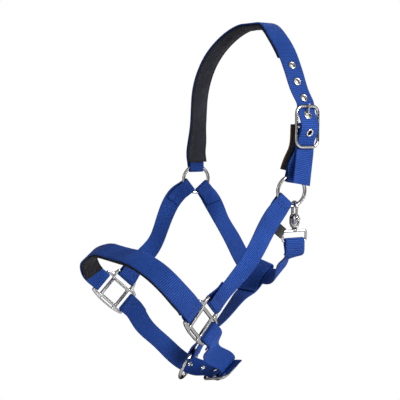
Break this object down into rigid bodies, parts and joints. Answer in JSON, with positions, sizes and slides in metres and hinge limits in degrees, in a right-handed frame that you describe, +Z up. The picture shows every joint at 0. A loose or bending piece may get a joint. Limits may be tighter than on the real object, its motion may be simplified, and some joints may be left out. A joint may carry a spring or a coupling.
{
  "type": "head halter",
  "caption": "Padded webbing head halter for a horse with metal squares and rings, buckles at the crown and the chin, and a snap hook on the throat strap.",
  "frame": {"origin": "middle of the underside of the crown padding, where the halter rests behind the horse's ears", "axes": "+Z up; the horse faces -Y and its near (left) side is +X"},
  "size_m": [0.2205, 0.2631, 0.4435],
  "materials": {
    "webbing": "ribbed woven nylon webbing, royal blue, slight sheen",
    "padding": "dark charcoal woven padding with a stitched channel along each edge",
    "backing": "brown leather, satin",
    "tag": "plain dark rubber tag, blank",
    "hardware": "polished nickel plate with fine wear"
  },
  "bodies": {
    "halter": {"noseband_strap": "webbing", "cheek_strap_near": "webbing", "cheek_strap_far": "webbing", "crown_strap": "webbing", "crown_billet_strap": "webbing", "throat_strap": "webbing", "jaw_strap": "webbing", "chin_strap_far": "webbing", "chin_strap_near": "webbing", "noseband_lining": "padding", "crown_lining": "padding", "billet_lining": "padding", "billet_backing": "backing", "blank_tag": "tag", "halter_square_near": "hardware", "halter_square_far": "hardware", "crown_eyelet_1": "hardware", "crown_eyelet_2": "hardware", "crown_eyelet_3": "hardware", "crown_eyelet_4": "hardware", "crown_eyelet_5": "hardware", "chin_eyelet_1": "hardware", "chin_eyelet_2": "hardware", "chin_eyelet_3": "hardware", "crown_buckle_frame": "hardware", "chin_buckle_frame": "hardware", "snap_swivel_eye": "hardware"},
    "ring_near": {"cheek_ring_near": "hardware"},
    "ring_far": {"cheek_ring_far": "hardware"},
    "lead_ring": {"chin_ring": "hardware"},
    "crown_tongue": {"crown_buckle_tongue": "hardware"},
    "chin_tongue": {"chin_buckle_tongue": "hardware"},
    "hook": {"snap_hook": "hardware"},
    "bolt": {"snap_bolt": "hardware"}
  },
  "joints": [
    {"name": "cheek_ring_near_spin", "type": "hinge", "parent": "halter", "child": "ring_near", "pos_m": [0.0914, -0.0246, -0.193], "axis": [0.9613, -0.2756, 0], "continuous": true},
    {"name": "cheek_ring_far_spin", "type": "hinge", "parent": "halter", "child": "ring_far", "pos_m": [-0.0914, -0.0246, -0.193], "axis": [0.9613, -0.2756, 0], "continuous": true},
    {"name": "chin_ring_spin", "type": "hinge", "parent": "halter", "child": "lead_ring", "pos_m": [-0.02, -0.091, -0.417], "axis": [0.7855, 0.4474, -0.4275], "continuous": true},
    {"name": "crown_tongue_lift", "type": "hinge", "parent": "halter", "child": "crown_tongue", "pos_m": [0.1055, -0.0145, -0.118], "axis": [0.1208, 0.9925, -0.0162], "range_deg": [0, 1]},
    {"name": "chin_tongue_lift", "type": "hinge", "parent": "halter", "child": "chin_tongue", "pos_m": [0.036, -0.084, -0.411], "axis": [0.1142, -0.873, -0.4742], "range_deg": [0, 2]},
    {"name": "snap_swivel", "type": "hinge", "parent": "halter", "child": "hook", "pos_m": [0.09266, -0.02022, -0.21], "axis": [0, 0, 1], "range_deg": [-10, 10]},
    {"name": "snap_bolt_slide", "type": "slide", "parent": "hook", "child": "bolt", "axis": [0, 0, -1], "range_m": [0, 0.008], "stiffness_N_per_m": 300, "springref_m": -0.003}
  ]
}
